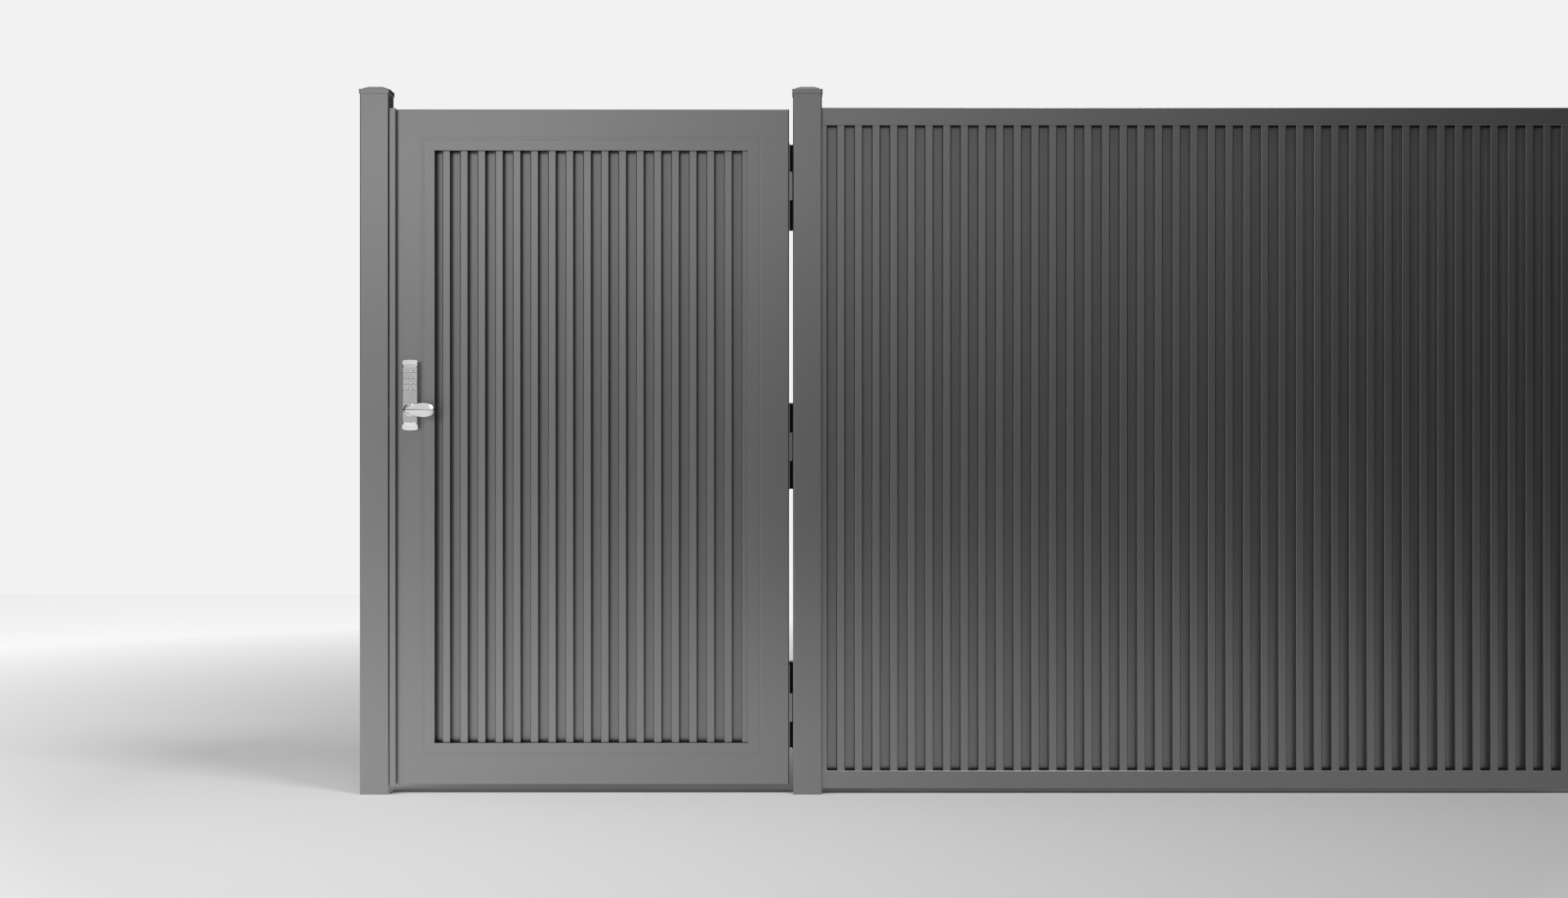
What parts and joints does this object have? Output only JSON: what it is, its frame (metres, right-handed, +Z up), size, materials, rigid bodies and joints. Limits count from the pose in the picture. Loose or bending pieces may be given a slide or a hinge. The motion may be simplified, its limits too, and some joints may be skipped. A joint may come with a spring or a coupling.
{
  "type": "metal privacy gate with a fence bay",
  "caption": "Gray metal privacy gate with ribbed infill, keypad lever lock and barrel hinges between square capped posts, with a matching ribbed fence bay.",
  "frame": {"origin": "middle of the hinge post's foot, at ground level", "axes": "+X along the fence away from the gate, +Y to the back, +Z up"},
  "size_m": [3.687, 0.1682, 1.8675],
  "materials": {
    "gray_coat": "satin powder coat",
    "hinge_coat": "black satin coat",
    "hinge_steel": "bright steel",
    "lock_metal": "satin nickel look",
    "lever_metal": "polished satin",
    "button_metal": "polished",
    "latch_steel": "brushed"
  },
  "bodies": {
    "root": {"end_post": "gray_coat", "end_post_cap": "gray_coat", "fence_bottom_rail": "gray_coat", "fence_infill": "gray_coat", "fence_top_rail": "gray_coat", "gate_stop": "gray_coat", "hinge_bracket_lower": "hinge_coat", "hinge_bracket_middle": "hinge_coat", "hinge_bracket_upper": "hinge_coat", "hinge_pin_lower": "hinge_steel", "hinge_pin_middle": "hinge_steel", "hinge_pin_upper": "hinge_steel", "hinge_post": "gray_coat", "hinge_post_cap": "gray_coat", "latch_post": "gray_coat", "latch_post_cap": "gray_coat", "strike_plate": "latch_steel"},
    "gate_leaf": {"gate_bottom_rail": "gray_coat", "gate_hinge_stile": "gray_coat", "gate_infill": "gray_coat", "gate_latch_stile": "gray_coat", "gate_top_rail": "gray_coat", "gate_trim_bottom": "gray_coat", "gate_trim_left": "gray_coat", "gate_trim_right": "gray_coat", "gate_trim_top": "gray_coat", "hinge_arm_lower": "gray_coat", "hinge_arm_middle": "gray_coat", "hinge_arm_upper": "gray_coat", "lock_case": "lock_metal", "keypad_buttons": "button_metal", "lock_rose": "lock_metal", "inside_plate": "lock_metal", "inside_rose": "lock_metal", "latch_plate": "latch_steel", "latch_bolt": "latch_steel"},
    "lock_lever": {"outside_lever": "lever_metal", "inside_lever": "lever_metal", "lever_spindle": "latch_steel"}
  },
  "joints": [
    {"name": "gate_swing", "type": "hinge", "parent": "root", "child": "gate_leaf", "pos_m": [-0.04325, 0.052, 0.916], "axis": [0, 0, -1], "range_deg": [0, 110]},
    {"name": "lever_turn", "type": "hinge", "parent": "gate_leaf", "child": "lock_lever", "pos_m": [-1.0468, 0, 1.013], "axis": [0, 1, 0], "range_deg": [0, 55], "stiffness_Nm_per_rad": 0.8, "springref_deg": -20.05}
  ]
}
